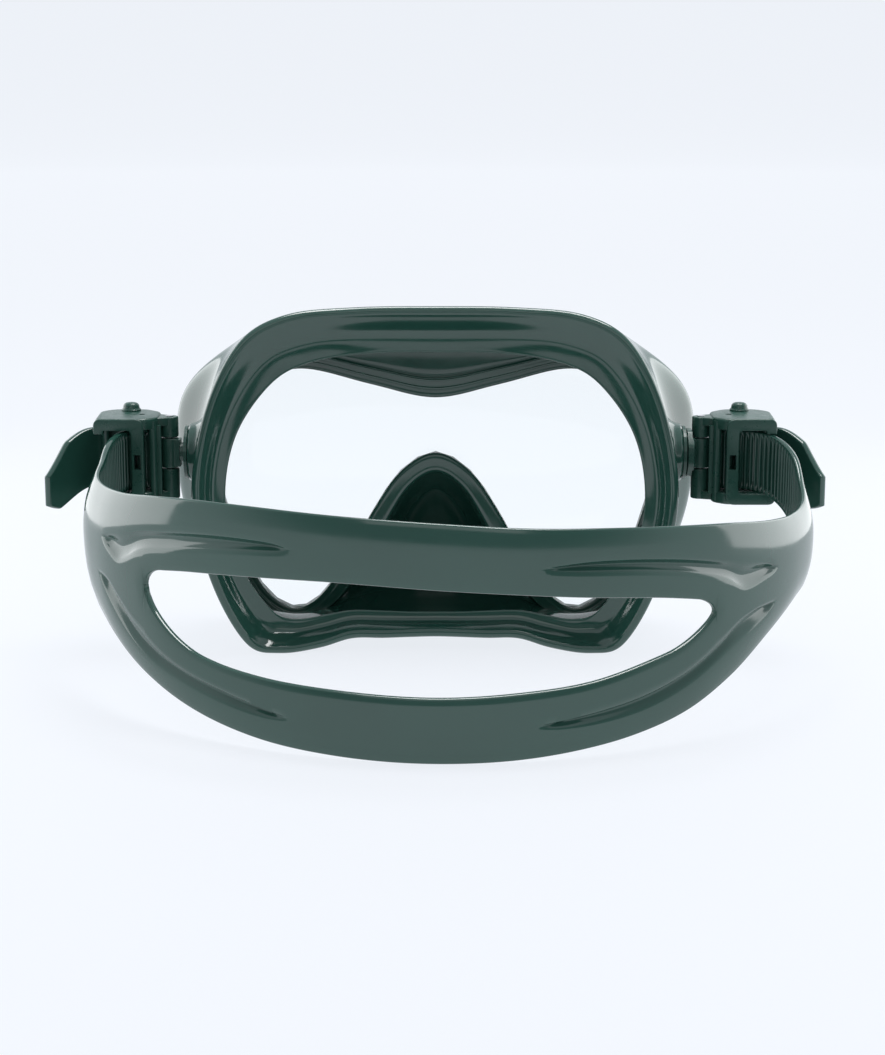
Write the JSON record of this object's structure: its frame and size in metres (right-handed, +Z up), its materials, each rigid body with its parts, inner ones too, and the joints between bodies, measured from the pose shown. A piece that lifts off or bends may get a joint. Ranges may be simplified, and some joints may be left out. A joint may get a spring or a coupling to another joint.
{
  "type": "diving mask",
  "caption": "Single-lens diving mask with a soft skirt and nose pocket, swivelling release buckles and a split head strap.",
  "frame": {"origin": "on the floor under the middle of the whole object, strap and tails included", "axes": "+X across the face to the right as seen from behind (the wearer's side), +Y forward out of the lens, +Z up"},
  "size_m": [0.2322, 0.1783, 0.105],
  "materials": {
    "green_silicone": "glossy moulded silicone",
    "green_plastic": "satin-gloss moulded plastic",
    "clear_glass": "clear tempered glass",
    "steel": "bright stainless steel"
  },
  "bodies": {
    "mask": {"skirt": "green_silicone", "lens": "clear_glass", "lens_frame": "green_plastic", "left_side_post": "green_plastic", "right_side_post": "green_plastic"},
    "strap_yoke": {"head_strap": "green_silicone", "left_swivel_hub": "green_plastic", "left_yaw_pin": "steel", "right_swivel_hub": "green_plastic", "right_yaw_pin": "steel"},
    "left_buckle": {"left_buckle_frame": "green_plastic", "left_roller_axle": "steel", "left_lever_pin": "steel", "left_lever_spring": "steel", "left_strap_end": "green_silicone"},
    "left_roller": {"left_roller": "green_plastic"},
    "left_release_lever": {"left_release_lever": "green_plastic"},
    "right_buckle": {"right_buckle_frame": "green_plastic", "right_roller_axle": "steel", "right_lever_pin": "steel", "right_lever_spring": "steel", "right_strap_end": "green_silicone"},
    "right_roller": {"right_roller": "green_plastic"},
    "right_release_lever": {"right_release_lever": "green_plastic"}
  },
  "joints": [
    {"name": "strap_tilt", "type": "hinge", "parent": "mask", "child": "strap_yoke", "pos_m": [0, 0.0296, 0.0605], "axis": [1, 0, 0], "range_deg": [-110, 35]},
    {"name": "left_buckle_yaw", "type": "hinge", "parent": "strap_yoke", "child": "left_buckle", "pos_m": [-0.0802, 0.0296, 0.0605], "axis": [0, 0, 1], "range_deg": [-20, 12]},
    {"name": "left_roller_spin", "type": "hinge", "parent": "left_buckle", "child": "left_roller", "pos_m": [-0.0885, 0.0301, 0.059], "axis": [0, 0, 1], "continuous": true},
    {"name": "left_lever_press", "type": "hinge", "parent": "left_buckle", "child": "left_release_lever", "pos_m": [-0.0927, 0.0375, 0.059], "axis": [0, 0, 1], "range_deg": [0, 9], "stiffness_Nm_per_rad": 0.05, "springref_deg": -2.86},
    {"name": "right_buckle_yaw", "type": "hinge", "parent": "strap_yoke", "child": "right_buckle", "pos_m": [0.0802, 0.0296, 0.0605], "axis": [0, 0, 1], "range_deg": [-12, 20]},
    {"name": "right_roller_spin", "type": "hinge", "parent": "right_buckle", "child": "right_roller", "pos_m": [0.0885, 0.0301, 0.059], "axis": [0, 0, 1], "continuous": true},
    {"name": "right_lever_press", "type": "hinge", "parent": "right_buckle", "child": "right_release_lever", "pos_m": [0.0927, 0.0375, 0.059], "axis": [0, 0, 1], "range_deg": [-9, 0], "stiffness_Nm_per_rad": 0.05, "springref_deg": 2.86}
  ]
}
